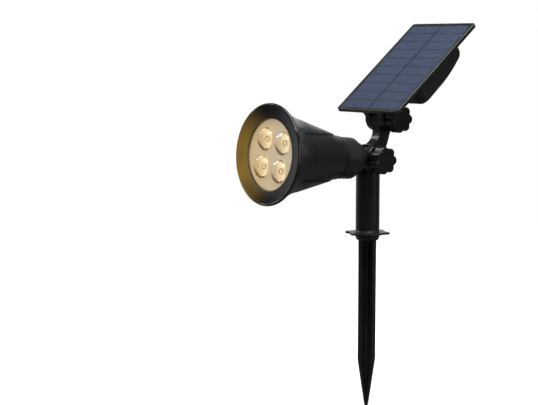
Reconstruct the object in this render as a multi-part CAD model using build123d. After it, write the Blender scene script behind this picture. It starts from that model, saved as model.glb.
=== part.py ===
from build123d import *
import math
import os

"""Solar garden light: a four-lens spotlight and a tilting solar panel on a short pole and a ground stake.

Row frame, in millimetres: the origin is the centre of the pole flange's underside, +Z runs up the pole,
the lamp points towards -Y and every tilting hinge turns about X, with both clamp knobs on the +X side.
"""

# ---------------------------------------------------------------- driving dimensions
# Pole, flange and stake
POLE_R = 10.8
POLE_TOP = 54.5
POLE_BORE_R = 8.6
PUSH_FIT = 0.08
FLANGE_THICK = 1.8
FLANGE_NOTCH_R = 16.8
FLANGE_LOBE_R = 4.6
FLANGE_TIP_R = 20.4
FLANGE_LOBES = 6
FLANGE_ANGLE = 36.0
FLANGE_FILLET = 2.4
BASE_HOLE_R = 1.75
BASE_HOLE_PCD = 32.0
BASE_HOLES = 3
STAKE_COLLAR_R = 11.0
STAKE_COLLAR_DROP = 5.4
STAKE_RIB_R = 9.6
STAKE_RIB_THICK = 2.0
STAKE_RIB_ANGLE = -6.0
STAKE_TAPER_Z = -114.0
STAKE_TIP_Z = -161.0
STAKE_TIP_R = 1.2
SPIGOT_TOP = 38.0

# Hinges
LAMP_PIVOT = (0.0, 67.8)
PANEL_PIVOT = (18.7, 104.0)
BOLT_R = 2.5
RUNNING_FIT = 0.08
EAR_OUT = 12.0
EAR_IN = 5.7
LUG_HALF = 5.2
LAMP_EAR_R = 12.0
LAMP_LUG_R = 11.2
PANEL_LUG_R = 11.0
PANEL_EAR_R = 11.5
BAND_R = 13.0
BAND_HALF = 7.5
LUG_GAP = 0.4
BOLT_HEAD_AF = 8.0
BOLT_HEAD_H = 3.5
BOLT_HEAD_SUNK = 3.0
BOLT_END = 21.5

# Clamp knobs
KNOB_LOBES = 7
KNOB_LOBE_R = 4.2
KNOB_TIP_R = 12.5
KNOB_CORE_R = 9.0
KNOB_BACK = 14.4
KNOB_FACE = 25.0
KNOB_HUB_R = 6.5
INSERT_AF = 8.0
INSERT_END = 22.5

# Lamp, measured forward along its own axis from the pivot
LAMP_TILT = 4.7
LAMP_UP = 35.0
LAMP_DOWN = 15.0
NECK_HALF = 8.3
CAP_REAR = 13.9
CAP_EDGE = 22.5
COLLAR_R = 18.7
COLLAR_START = 22.6
COLLAR_END = 38.0
CONE_START_R = 19.3
CONE_START = 39.5
CONE_END_R = 31.8
CONE_END = 86.0
HOUSING_END_R = 41.7
HOUSING_END = 111.1
WALL = 2.2
SIDE_PANEL_HALF = 20.5
SIDE_PANEL_DEPTH = 0.6
SIDE_PANEL_START = 40.5
SIDE_PANEL_END = 99.0
BEZEL_R = 44.0
BEZEL_FRONT = 116.5
WINDOW_R = 30.4
TRAY_R = 35.8
TRAY_BACK = 109.0
TRAY_FRONT = 110.8
LENS_R = 10.25
LENS_PITCH_R = 17.1
LENS_TURN = -6.5
LENS_COUNT = 4
LENS_DOME = 3.9
BOARD_FACE = 99.0
LED_BOARD_R = 29.5
LED_BOARD_THICK = 1.6
HEAT_SINK_THICK = 2.0
POST_PITCH_R = 24.0

# Solar panel, measured up its slope (v) and out of its face (n) from the lower edge of the top face
PANEL_W = 81.0
PANEL_L = 124.5
PANEL_THICK = 4.0
PANEL_TILT = 39.0
PANEL_EDGE = (-3.33, 111.76)
PANEL_CORNER_R = 3.0
PANEL_BORDER = 3.0
LAMINATE_DEPTH = 1.6
CELL_COLUMNS = 2
CELL_ROWS = 10
CELL_GAP_X = 2.2
CELL_GAP_V = 0.8
CELL_THICK = 0.25

# Battery housing behind the panel
HOUSING_HALF = 30.0
HOUSING_V0 = 37.0
HOUSING_V1 = 106.0
HOUSING_RIM_N = -4.8
HOUSING_WALL = 1.5
HOUSING_SCREWS = ((-25.0, 66.5), (25.0, 66.5), (-22.0, 96.0), (22.0, 96.0))
SCREW_R = 1.4
SCREW_CLEAR = 0.05
CELL_R = 9.1
CELL_LENGTH = 49.8
CELL_V = 51.2
CELL_N = -13.15
BOARD_N = -9.0
BOARD_THICK = 1.2
BOARD_POSTS = ((-17.0, 87.0), (17.0, 87.0))
BUTTON_V = 78.0
BUTTON_R = 4.0
BUTTON_TRAVEL = 1.2
BUTTON_SEAT = -20.3

# ---------------------------------------------------------------- frames
LAMP_FRAME = Pos(0, *LAMP_PIVOT) * Rot(90 - LAMP_TILT, 0, 0)
PANEL_FRAME = Pos(0, *PANEL_EDGE) * Rot(PANEL_TILT, 0, 0)


def panel_pivot_local():
    """The panel pivot in the panel's own (v, n) directions."""
    tilt = math.radians(PANEL_TILT)
    dy = PANEL_PIVOT[0] - PANEL_EDGE[0]
    dz = PANEL_PIVOT[1] - PANEL_EDGE[1]
    v = dy * math.cos(tilt) + dz * math.sin(tilt)
    n = -dy * math.sin(tilt) + dz * math.cos(tilt)
    return v, n


# ---------------------------------------------------------------- helpers
def lathe(*edges):
    """Turn a closed (radius, height) outline about Z."""
    return revolve(Plane.XZ * make_face(Curve() + list(edges)), Axis.Z)


def turned(*points):
    """Turn a closed (radius, height) polygon about Z."""
    return lathe(Polyline(*points, close=True))


def rod(radius, low, high):
    """A cylinder along Z from low to high."""
    return Pos(0, 0, (low + high) / 2) * Cylinder(radius, high - low)


def ring(outer, inner, low, high):
    """A tube along Z from low to high."""
    return rod(outer, low, high) - rod(inner, low, high)


def x_rod(radius, x0, x1, centre=(0.0, 0.0)):
    """A cylinder along X from x0 to x1 about a (y, z) centre."""
    return Pos((x0 + x1) / 2, *centre) * Rot(0, 90, 0) * Cylinder(radius, x1 - x0)


def x_slab(face, x0, x1):
    """A face drawn in (y, z) given thickness from x0 to x1."""
    return extrude(Plane.YZ.offset(x0) * face, x1 - x0, dir=(1, 0, 0))


def x_hex(across_flats, x0, x1, centre=(0.0, 0.0)):
    """A hexagonal prism along X about a (y, z) centre."""
    face = Pos(*centre) * RegularPolygon(across_flats / 2, 6, major_radius=False)
    return x_slab(face, x0, x1)


def block(x0, x1, y0, y1, z0, z1):
    """A box between two corners."""
    centre = Pos((x0 + x1) / 2, (y0 + y1) / 2, (z0 + z1) / 2)
    return centre * Box(x1 - x0, y1 - y0, z1 - z0)


def cap_arc(radius, base, rise):
    """The half outline of a spherical cap, from its rim to its crown on the axis."""
    sphere_r = (radius**2 + rise**2) / (2 * rise)
    half_turn = math.asin(radius / sphere_r) / 2
    middle = (
        sphere_r * math.sin(half_turn),
        base + rise - sphere_r * (1 - math.cos(half_turn)),
    )
    return ThreePointArc((radius, base), middle, (0, base + rise))


def polar(radius, degrees):
    """A point at an angle on a circle about the origin."""
    angle = math.radians(degrees)
    return radius * math.cos(angle), radius * math.sin(angle)


def group(solids):
    """Separate solids that share one node."""
    return Compound(children=list(solids))


def wire(radius, *points):
    """A round lead swept along a smooth path through points."""
    path = Spline(*points)
    section = Plane(path @ 0, z_dir=path % 0) * Circle(radius)
    return sweep(section, path)


def lobed(core_r, lobe_r, tip_r, count, blend, start=0.0):
    """A disc outline with round lobes whose notches are blended."""
    outline = Circle(core_r)
    for k in range(count):
        x, y = polar(tip_r - lobe_r, start + 360 * k / count)
        outline += Pos(x, y) * Circle(lobe_r)
    return fillet(outline.vertices(), blend)


# ---------------------------------------------------------------- stake and pole
def make_ground_stake():
    """Cross-section spike with a tapered collar and a round spigot that enters the pole."""
    bar = RectangleRounded(2 * STAKE_RIB_R, STAKE_RIB_THICK, 0.6)
    cross = Rot(0, 0, STAKE_RIB_ANGLE) * (bar + Rot(0, 0, 90) * bar)
    ribs = extrude(Pos(0, 0, STAKE_TIP_Z) * cross, -STAKE_TIP_Z - 2)
    envelope = turned(
        (0, STAKE_TIP_Z),
        (STAKE_TIP_R, STAKE_TIP_Z),
        (STAKE_RIB_R, STAKE_TAPER_Z),
        (STAKE_RIB_R, 0),
        (0, 0),
    )
    web = turned(
        (0, STAKE_TIP_Z + 4), (1.2, STAKE_TIP_Z + 12), (2.4, STAKE_TAPER_Z), (2.4, -3), (0, -3)
    )
    collar = turned(
        (0, -0.1),
        (STAKE_COLLAR_R - 0.6, -0.1),
        (STAKE_COLLAR_R, -0.7),
        (STAKE_COLLAR_R, -2.4),
        (STAKE_RIB_R + 0.2, -STAKE_COLLAR_DROP),
        (0, -STAKE_COLLAR_DROP),
    )
    spigot_r = POLE_BORE_R - PUSH_FIT
    spigot = turned(
        (0, -1), (spigot_r, -1), (spigot_r, SPIGOT_TOP - 1.2), (spigot_r - 1.2, SPIGOT_TOP), (0, SPIGOT_TOP)
    )
    return (ribs & envelope) + web + collar + spigot


def make_pole_tube():
    """Round pole with a lobed screw flange at its foot."""
    outline = lobed(
        FLANGE_NOTCH_R, FLANGE_LOBE_R, FLANGE_TIP_R, FLANGE_LOBES, 1.8, FLANGE_ANGLE
    )
    flange = extrude(outline, FLANGE_THICK)
    flange = chamfer(flange.faces().sort_by(Axis.Z)[-1].edges(), 0.4)
    foot_r = POLE_R + FLANGE_FILLET
    foot_top = FLANGE_THICK + FLANGE_FILLET
    knee = FLANGE_FILLET * (1 - math.sqrt(0.5))
    tube = lathe(
        Line((0, 0.5), (foot_r, 0.5)),
        Line((foot_r, 0.5), (foot_r, FLANGE_THICK)),
        ThreePointArc(
            (foot_r, FLANGE_THICK), (POLE_R + knee, FLANGE_THICK + knee), (POLE_R, foot_top)
        ),
        Line((POLE_R, foot_top), (POLE_R, POLE_TOP)),
        Line((POLE_R, POLE_TOP), (0, POLE_TOP)),
        Line((0, POLE_TOP), (0, 0.5)),
    )
    pole = flange + tube - rod(POLE_BORE_R, -1, POLE_TOP + 1)
    for k in range(BASE_HOLES):
        x, y = polar(BASE_HOLE_PCD / 2, FLANGE_ANGLE + 360 * k / BASE_HOLES)
        pole -= Pos(x, y) * rod(BASE_HOLE_R, -1, FLANGE_THICK + 1)
    return pole


def arm_outline():
    """The curved arm's side outline in (y, z), from the band over the drum to the upper lug."""
    return make_face(
        Curve()
        + [
            Polyline((8.9, 101.5), (9.8, 92.4)),
            ThreePointArc((9.8, 92.4), (7.0, 85.3), (1.4, 81.0)),
            Polyline((1.4, 81.0), (-0.9, 80.4), (1.0, 72.0), (11.9, 68.6)),
            ThreePointArc((11.9, 68.6), (18.3, 80.2), (21.5, 89.5)),
            Polyline((21.5, 89.5), (24.2, 95.8), (18.7, 104.0), (8.9, 101.5)),
        ]
    )


def arm_pocket(inset):
    """The hollow's outline in the middle of the arm, inset from its edges."""
    band = Pos(15.0, 88.75) * Rectangle(40, 14.5 - 2 * (inset - 2.6))
    return offset(arm_outline(), -inset) & band


def lamp_slot(radius):
    """The opening that lets the lamp's lug swing, in (y, z): a wedge with a round end at the pivot."""
    reach = 30.0
    half = NECK_HALF + 0.5
    low = math.radians(LAMP_DOWN - LAMP_TILT + 1)
    high = math.radians(LAMP_UP + LAMP_TILT + 1)
    a = (half * math.sin(low), -half * math.cos(low))
    b = (a[0] - reach * math.cos(low), a[1] - reach * math.sin(low))
    d = (half * math.sin(high), half * math.cos(high))
    c = (d[0] - reach * math.cos(high), d[1] + reach * math.sin(high))
    wedge = make_face(Polyline(a, b, (-reach, 0), c, d, (0, 0), close=True))
    return Pos(*LAMP_PIVOT) * (wedge + Circle(radius))


def rear_band():
    """The rounded strap that joins the two ears behind the lug, in (y, z)."""
    behind = Pos(BAND_R - 0.5, 0) * Rectangle(2 * BAND_R, 2 * BAND_R)
    return Pos(*LAMP_PIVOT) * (Circle(BAND_R) & behind)


def make_pole_head():
    """Pole cap, slotted drum for the lamp hinge and the curved arm up to the panel hinge."""
    drum = x_rod(LAMP_EAR_R, -EAR_OUT, EAR_OUT, LAMP_PIVOT)
    drum = chamfer(drum.edges().filter_by(GeomType.CIRCLE), 0.6)
    neck = rod(POLE_R, POLE_TOP, LAMP_PIVOT[1] - 2)
    plug = rod(POLE_BORE_R - SCREW_CLEAR, POLE_TOP - 10, POLE_TOP)
    body = drum + neck + plug - x_slab(lamp_slot(LAMP_EAR_R + 0.1), -EAR_IN, EAR_IN)
    body += x_slab(rear_band(), -BAND_HALF, BAND_HALF) + x_slab(arm_outline(), -5, 5)
    body += x_rod(PANEL_LUG_R, -LUG_HALF, LUG_HALF, PANEL_PIVOT)
    body -= x_slab(lamp_slot(LAMP_LUG_R + LUG_GAP), -EAR_IN, EAR_IN)
    body -= x_slab(arm_pocket(2.6), -5, 2.8) + x_slab(arm_pocket(1.8), -5, -3.8)
    body -= x_rod(BOLT_R + SCREW_CLEAR, -20, 20, LAMP_PIVOT)
    body -= x_rod(BOLT_R + RUNNING_FIT, -20, 20, PANEL_PIVOT)
    return body - x_hex(BOLT_HEAD_AF + 0.1, -EAR_OUT - 1, BOLT_HEAD_SUNK - EAR_OUT, LAMP_PIVOT)


def make_arm_cover():
    """Snap-in cover over the arm's cable channel."""
    return x_slab(arm_pocket(1.85), -5, -3.85)


def make_arm_cable():
    """Two-core cable lying in the arm's channel between the hinges."""
    return wire(1.3, (0, 13.0, 83.6), (0, 15.2, 87.0), (0, 16.2, 90.5), (0, 16.4, 94.2))


# ---------------------------------------------------------------- hinge hardware
def make_pivot_bolt(centre):
    """Hex-head clamp bolt along X, its head captive in the -X ear."""
    head_x = BOLT_HEAD_SUNK - EAR_OUT
    head = x_hex(BOLT_HEAD_AF, head_x - BOLT_HEAD_H, head_x, centre)
    shank = x_rod(BOLT_R, head_x - 1, BOLT_END - 0.8, centre)
    tip = x_rod(BOLT_R - 0.6, BOLT_END - 0.8, BOLT_END, centre)
    return head + shank + tip


def make_pivot_washers(centre):
    """Friction washers either side of the centre lug."""
    one = x_rod(8.0, LUG_HALF + 0.05, EAR_IN - 0.05, centre) - x_rod(2.9, 5, 6, centre)
    return group([one, mirror(one, Plane.YZ)])


def make_knob(centre):
    """Lobed hand knob that clamps the hinge."""
    outline = lobed(KNOB_CORE_R, KNOB_LOBE_R, KNOB_TIP_R, KNOB_LOBES, 1.2, -2.0)
    knob = x_slab(outline, KNOB_BACK, KNOB_FACE)
    knob = fillet(knob.faces().sort_by(Axis.X)[-1].edges(), 1.3)
    knob = chamfer(knob.faces().sort_by(Axis.X)[0].edges(), 0.5)
    knob += x_rod(KNOB_HUB_R, EAR_OUT + 0.3, KNOB_BACK)
    knob -= x_hex(INSERT_AF + 0.1, EAR_OUT, INSERT_END)
    return Pos(0, *centre) * knob


def make_knob_insert(centre):
    """Brass hex insert moulded in the knob, running on the bolt."""
    body = x_hex(INSERT_AF, EAR_OUT + 0.3, INSERT_END - 0.1)
    return Pos(0, *centre) * (body - x_rod(BOLT_R + 0.06, EAR_OUT, INSERT_END))


# ---------------------------------------------------------------- lamp
def housing_edges(shrink):
    """The lamp body's outer outline from collar to flare, with its radius reduced by shrink."""
    collar = Polyline(
        (COLLAR_R - 0.7 - shrink, COLLAR_START),
        (COLLAR_R - 0.15 - shrink, COLLAR_START + 0.9),
        (COLLAR_R - shrink, COLLAR_END),
        (CONE_START_R - shrink, CONE_START),
        (CONE_END_R - shrink, CONE_END),
    )
    flare = ThreePointArc(
        (CONE_END_R - shrink, CONE_END), (35.0 - shrink, 98.0), (HOUSING_END_R - shrink, HOUSING_END)
    )
    return [collar, flare]


def make_lamp_housing():
    """Conical shell with a rear collar, a flared mouth and a shallow panel on each side."""
    shell = lathe(
        *housing_edges(0),
        Polyline(
            (HOUSING_END_R, HOUSING_END),
            (TRAY_R + 0.1, HOUSING_END),
            (TRAY_R + 0.1, TRAY_BACK),
            (32.4, TRAY_BACK),
            (32.4, 101.0),
            (CONE_END_R - WALL, CONE_END),
            (COLLAR_R - WALL, COLLAR_END),
            (COLLAR_R - WALL, COLLAR_START),
            (COLLAR_R - 0.7, COLLAR_START),
        ),
    )
    skin = lathe(
        *housing_edges(SIDE_PANEL_DEPTH),
        Polyline(
            (HOUSING_END_R - SIDE_PANEL_DEPTH, HOUSING_END),
            (60, HOUSING_END),
            (60, COLLAR_START),
            (COLLAR_R - 0.7 - SIDE_PANEL_DEPTH, COLLAR_START),
        ),
    )
    window = block(-70, 70, -SIDE_PANEL_HALF, SIDE_PANEL_HALF, SIDE_PANEL_START, SIDE_PANEL_END)
    return shell - (skin & window)


def make_tail_cap():
    """Domed rear cap with the hinge lug, plugged into the collar."""
    plug_r = COLLAR_R - WALL - 0.1
    cap = lathe(
        Line((0, CAP_REAR), (12.0, CAP_REAR)),
        ThreePointArc((12.0, CAP_REAR), (14.1, 14.75), (15.0, 16.8)),
        Line((15.0, 16.8), (15.4, 20.3)),
        ThreePointArc((15.4, 20.3), (16.1, 21.2), (17.3, 21.6)),
        Polyline(
            (17.3, 21.6),
            (17.3, CAP_EDGE),
            (plug_r, CAP_EDGE),
            (plug_r, 31.0),
            (13.6, 31.0),
            (13.6, 21.0),
            (12.4, 17.0),
            (0, 16.2),
            (0, CAP_REAR),
        ),
    )
    cap -= ring(COLLAR_R, 15.2, 25.0, 27.2)
    neck = block(-LUG_HALF, LUG_HALF, -NECK_HALF, NECK_HALF, 0, 15.5)
    lug = x_rod(LAMP_LUG_R, -LUG_HALF, LUG_HALF)
    knuckle = neck + lug - x_rod(BOLT_R + RUNNING_FIT, -20, 20)
    return cap + knuckle - rod(1.7, 6.0, 20.0)


def make_tail_seal():
    """O-ring in the tail cap's groove."""
    section = Plane.XZ * (Pos(15.85, 26.1) * Circle(0.62))
    return revolve(section, Axis.Z)


def make_front_bezel():
    """Front ring with a rolled lip, a shallow dish and the window over the lenses."""
    return lathe(
        Polyline(
            (HOUSING_END_R + 0.05, HOUSING_END + 0.05),
            (43.3, 113.6),
        ),
        ThreePointArc((43.3, 113.6), (BEZEL_R, 115.2), (43.1, BEZEL_FRONT)),
        ThreePointArc((43.1, BEZEL_FRONT), (42.5, 116.6), (42.0, 116.1)),
        Polyline(
            (42.0, 116.1),
            (31.6, 114.3),
        ),
        ThreePointArc((31.6, 114.3), (31.2, 114.1), (31.0, 113.7)),
        Polyline(
            (31.0, 113.7),
            (WINDOW_R, 111.5),
            (TRAY_R, 111.5),
            (TRAY_R, HOUSING_END + 0.05),
            (HOUSING_END_R + 0.05, HOUSING_END + 0.05),
        ),
    )


def make_lens_gasket():
    """Flat silicone ring squeezed between the optic tray and the bezel."""
    return ring(TRAY_R - 0.3, WINDOW_R + 0.9, TRAY_FRONT + 0.02, 111.48)


def lens_centres():
    """Centres of the four lenses on the tray."""
    step = 360 / LENS_COUNT
    return [polar(LENS_PITCH_R, LENS_TURN + step * (k + 0.5)) for k in range(LENS_COUNT)]


def post_centres():
    """Centres of the screw posts between the lenses."""
    step = 360 / LENS_COUNT
    return [polar(POST_PITCH_R, LENS_TURN + step * k) for k in range(LENS_COUNT)]


def make_optic_tray():
    """Front plate that holds the lenses, with collars round them and screw posts behind."""
    tray = rod(TRAY_R, TRAY_BACK, TRAY_FRONT)
    for x, y in lens_centres():
        tray += Pos(x, y) * rod(LENS_R + 1.0, TRAY_FRONT, TRAY_FRONT + 0.45)
    for x, y in lens_centres():
        tray -= Pos(x, y) * rod(LENS_R + 0.1, TRAY_BACK - 1, TRAY_FRONT + 1)
    for x, y in post_centres():
        tray += Pos(x, y) * (rod(2.8, BOARD_FACE, TRAY_BACK) - rod(SCREW_R, BOARD_FACE - 1, 106.0))
    return tray


def make_led_optics():
    """Four clear domed lenses, each with a tapered collecting body and an emitter cavity."""
    rim = TRAY_FRONT + 0.3
    lens = lathe(
        Polyline((0, 103.0), (2.9, 102.6), (3.4, 99.6), (5.2, 99.6)),
        Polyline((5.2, 99.6), (9.2, 107.4), (11.3, 107.4), (11.3, 108.9), (LENS_R, 108.9)),
        Line((LENS_R, 108.9), (LENS_R, rim)),
        cap_arc(LENS_R, rim, LENS_DOME),
        Line((0, rim + LENS_DOME), (0, 103.0)),
    )
    return group([Pos(x, y) * lens for x, y in lens_centres()])


def make_led_emitters():
    """Four emitters: a square package with a small dome."""
    package = block(-1.75, 1.75, -1.75, 1.75, BOARD_FACE, BOARD_FACE + 0.5)
    dome = Pos(0, 0, BOARD_FACE + 0.5) * Sphere(1.3)
    dome &= block(-3, 3, -3, 3, BOARD_FACE + 0.3, BOARD_FACE + 3)
    return group([Pos(x, y) * (package + dome) for x, y in lens_centres()])


def drilled_disc(radius, low, high):
    """A disc with clearance holes for the four lamp screws and a wire hole."""
    disc = rod(radius, low, high) - Pos(0, 0) * rod(1.8, low - 1, high + 1)
    for x, y in post_centres():
        disc -= Pos(x, y) * rod(SCREW_R + 0.1, low - 1, high + 1)
    return disc


def make_led_board():
    """Round metal-core circuit board."""
    return drilled_disc(LED_BOARD_R, BOARD_FACE - LED_BOARD_THICK, BOARD_FACE)


def make_heat_sink():
    """Aluminium disc behind the board with a turned-back rim."""
    front = BOARD_FACE - LED_BOARD_THICK
    disc = drilled_disc(LED_BOARD_R - 0.5, front - HEAT_SINK_THICK, front)
    return disc + ring(LED_BOARD_R - 0.5, LED_BOARD_R - 2.0, front - 6.0, front - 1.0)


def make_led_board_screws():
    """Four screws through heat sink and board into the tray's posts."""
    back = BOARD_FACE - LED_BOARD_THICK - HEAT_SINK_THICK
    screw = rod(SCREW_R - SCREW_CLEAR, back - 0.2, 105.5) + rod(2.5, back - 1.8, back)
    screw -= block(-3, 3, -0.35, 0.35, back - 3, back - 1.0)
    return group([Pos(x, y) * screw for x, y in post_centres()])


def make_lamp_cable():
    """Cable from the LED board down the cone and into the lug."""
    return wire(1.3, (0, 0, 7.0), (0, 0, 22.0), (0.4, -3.0, 55.0), (0.3, -1.0, 80.0), (0, 0, 98.0))


# ---------------------------------------------------------------- solar panel
def make_panel_frame():
    """Tray that carries the solar laminate, with screw bosses below."""
    outline = Pos(0, PANEL_L / 2) * RectangleRounded(PANEL_W, PANEL_L, PANEL_CORNER_R)
    tray = extrude(Pos(0, 0, -PANEL_THICK) * outline, PANEL_THICK)
    tray = fillet(tray.faces().sort_by(Axis.Z)[-1].edges(), 0.9)
    tray = fillet(tray.faces().sort_by(Axis.Z)[0].edges(), 1.3)
    half = PANEL_W / 2 - PANEL_BORDER
    tray -= block(-half, half, PANEL_BORDER, PANEL_L - PANEL_BORDER, -LAMINATE_DEPTH, 1)
    for x, v in HOUSING_SCREWS:
        tray += Pos(x, v) * rod(3.0, -8.5, -PANEL_THICK + 0.5)
        tray -= Pos(x, v) * rod(SCREW_R + SCREW_CLEAR, -9, -2.8)
    for x, v in BOARD_POSTS:
        tray += Pos(x, v) * rod(2.6, BOARD_N, -PANEL_THICK + 0.5)
        tray -= Pos(x, v) * rod(SCREW_R + SCREW_CLEAR, BOARD_N - 1, -2.8)
    for x, v in bracket_screw_centres():
        tray -= Pos(x, v) * rod(1.6, -6, 0)
        tray -= Pos(x, v) * rod(2.9, -2.9, 0)
    return tray - Pos(0, 72) * rod(3.0, -6, 0)


def make_solar_backsheet():
    """Dark circuit sheet under the cells."""
    half = PANEL_W / 2 - PANEL_BORDER - 0.15
    v0 = PANEL_BORDER + 0.15
    return block(-half, half, v0, PANEL_L - v0, -LAMINATE_DEPTH + 0.02, -0.85)


def cell_grid():
    """Corners (x0, x1, v0, v1) of every solar cell."""
    width = (PANEL_W - 2 * PANEL_BORDER - 0.8 - CELL_GAP_X) / CELL_COLUMNS
    pitch = (PANEL_L - 2 * PANEL_BORDER - 0.8 + CELL_GAP_V) / CELL_ROWS
    v_start = PANEL_BORDER + 0.4
    cells = []
    for side in (-1, 1):
        inner = side * CELL_GAP_X / 2
        x0, x1 = sorted((inner, inner + side * width))
        for row in range(CELL_ROWS):
            v0 = v_start + row * pitch
            cells.append((x0, x1, v0, v0 + pitch - CELL_GAP_V))
    return cells


def make_solar_cells():
    """Two columns of silicon strips."""
    return group([block(*cell, -0.84, -0.84 + CELL_THICK) for cell in cell_grid()])


def make_cell_ribbons():
    """Tinned ribbons that join neighbouring strips, tucked into the gaps between rows."""
    ribbons = []
    for x0, x1, v0, v1 in cell_grid():
        if v1 < PANEL_L - PANEL_BORDER - 1:
            middle = (x0 + x1) / 2
            low = v1 + 0.08
            high = v1 + CELL_GAP_V - 0.08
            ribbons.append(block(middle - 2, middle + 2, low, high, -0.84, -0.72))
    return group(ribbons)


def make_front_sheet():
    """Clear laminate over the cells."""
    half = PANEL_W / 2 - PANEL_BORDER - 0.05
    v0 = PANEL_BORDER + 0.05
    return block(-half, half, v0, PANEL_L - v0, -0.57, -0.2)


# ---------------------------------------------------------------- panel hinge bracket
def bracket_screw_centres():
    """Four screws that hold the bracket under the panel frame."""
    v = panel_pivot_local()[0]
    return [(x, v + dv) for x in (-8.8, 8.8) for dv in (-5.8, 5.8)]


def make_panel_bracket():
    """Base plate and two round ears that straddle the arm's lug."""
    v, n = panel_pivot_local()
    top = -PANEL_THICK - 0.02
    ear = x_rod(PANEL_EAR_R, EAR_IN, EAR_OUT, (v, n)) + block(EAR_IN, EAR_OUT, v - 8, v + 9, n, top)
    ear = ear + mirror(ear, Plane.YZ)
    base = block(-EAR_OUT, EAR_OUT, v - 9, v + 10, top - 2.6, top)
    bracket = base + ear - x_rod(BOLT_R + SCREW_CLEAR, -20, 20, (v, n))
    bracket -= x_hex(BOLT_HEAD_AF + 0.1, -EAR_OUT - 1, BOLT_HEAD_SUNK - EAR_OUT, (v, n))
    for x, screw_v in bracket_screw_centres():
        bracket -= Pos(x, screw_v) * rod(SCREW_R + SCREW_CLEAR, top - 5.5, top + 1)
    return bracket


def make_bracket_screws():
    """Four screws from the tray's floor down into the bracket, hidden by the laminate."""
    top = -LAMINATE_DEPTH - 0.1
    screw = rod(SCREW_R, -9.0, top - 0.4) + rod(2.7, top - 1.2, top)
    return group([Pos(x, v) * screw for x, v in bracket_screw_centres()])


# ---------------------------------------------------------------- battery housing
def housing_side(inset):
    """The housing's side outline in (v, n), moved in from its outer surface."""
    outline = make_face(
        Curve()
        + [
            Polyline((HOUSING_V1, 0), (HOUSING_V0, 0), (HOUSING_V0, -22.6)),
            ThreePointArc((HOUSING_V0, -22.6), (37.5, -23.7), (38.7, -24.2)),
            Polyline((38.7, -24.2), (62.0, -23.8)),
            ThreePointArc((62.0, -23.8), (79.0, -22.6), (94.0, -19.5)),
            ThreePointArc((94.0, -19.5), (101.4, -15.9), (105.0, -10.5)),
            Polyline((105.0, -10.5), (HOUSING_V1, -5.0), (HOUSING_V1, 0)),
        ]
    )
    return offset(outline, -inset) if inset else outline


def housing_form(inset):
    """Side outline crossed with a rounded plan outline."""
    side = x_slab(housing_side(inset), -HOUSING_HALF + inset, HOUSING_HALF - inset)
    length = HOUSING_V1 - HOUSING_V0
    plan = Pos(0, HOUSING_V0 + length / 2) * RectangleRounded(
        2 * (HOUSING_HALF - inset), length - 2 * inset, 8.0 - inset
    )
    return side & extrude(Pos(0, 0, -30) * plan, 30)


def below(level):
    """Everything on the housing's side of a level under the panel."""
    return block(-50, 50, 0, 140, -40, level)


def make_battery_housing():
    """Closed-back shell with screw columns and a button hole."""
    outer = housing_form(0) & below(HOUSING_RIM_N)
    shell = outer - (housing_form(HOUSING_WALL) & below(HOUSING_RIM_N + 1))
    for x, v in HOUSING_SCREWS:
        shell += (Pos(x, v) * rod(4.0, -30, -8.6)) & outer
    for x, v in HOUSING_SCREWS:
        shell -= Pos(x, v) * rod(SCREW_R + 0.15, -30, -8)
        shell -= Pos(x, v) * rod(3.0, -30, -11.0)
    seat = (Pos(0, BUTTON_V) * rod(7.0, -30, BUTTON_SEAT)) & outer
    return shell + seat - Pos(0, BUTTON_V) * rod(BUTTON_R + 0.1, -30, -18)


def make_housing_gasket():
    """Foam strip between the housing's rim and the panel frame."""
    length = HOUSING_V1 - HOUSING_V0
    middle = Pos(0, HOUSING_V0 + length / 2)
    outer = RectangleRounded(2 * HOUSING_HALF - 0.6, length - 0.6, 7.7)
    inner = RectangleRounded(2 * HOUSING_HALF - 3.0, length - 3.0, 6.5)
    face = Pos(0, 0, HOUSING_RIM_N + 0.02) * middle * (outer - inner)
    return extrude(face, -PANEL_THICK - HOUSING_RIM_N - 0.04)


def make_housing_screws():
    """Four screws up through the housing's columns into the panel frame."""
    screw = rod(SCREW_R, -11.2, -3.2) + rod(2.7, -13.0, -11.05)
    screw -= block(-2.0, 2.0, -0.35, 0.35, -14, -12.2) + block(-0.35, 0.35, -2.0, 2.0, -14, -12.2)
    return group([Pos(x, v) * screw for x, v in HOUSING_SCREWS])


def make_battery_cell():
    """Round rechargeable cell across the housing, with a button terminal."""
    can = x_rod(CELL_R, -CELL_LENGTH / 2, CELL_LENGTH / 2 - 0.8, (CELL_V, CELL_N))
    can = chamfer(can.edges().filter_by(GeomType.CIRCLE), 0.5)
    return can + x_rod(3.0, CELL_LENGTH / 2 - 0.8, CELL_LENGTH / 2, (CELL_V, CELL_N))


def make_battery_cradle():
    """Open frame that keeps the cell in place, notched for the contact tabs and leads."""
    outline = Pos(0, CELL_V, -17.0) * RectangleRounded(54.8, 20.6, 3.0)
    frame = extrude(outline, 7.5) - block(-26.2, 26.2, CELL_V - 9.3, CELL_V + 9.3, -18.0, -9.0)
    notch = block(18.0, 26.4, CELL_V + 9, CELL_V + 11, -12.2, -9.0)
    return frame - notch - mirror(notch, Plane.YZ)


def make_battery_contacts():
    """Sprung contact plates at the cell's ends."""
    plate = block(25.7, 26.1, CELL_V - 5, CELL_V + 5, -17.0, -9.6)
    tab = block(25.7, 26.1, CELL_V + 4, CELL_V + 10.9, -12.0, -10.0)
    contact = plate + tab + x_rod(2.2, 24.95, 25.7, (CELL_V, CELL_N))
    return group([contact, mirror(contact, Plane.YZ)])


def make_control_board():
    """Charge and lamp control board."""
    board = block(-20.6, 20.6, 67.0, 91.0, BOARD_N - BOARD_THICK, BOARD_N - 0.01)
    for x, v in BOARD_POSTS:
        board -= Pos(x, v) * rod(SCREW_R + 0.1, -12, -8)
    return board


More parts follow.
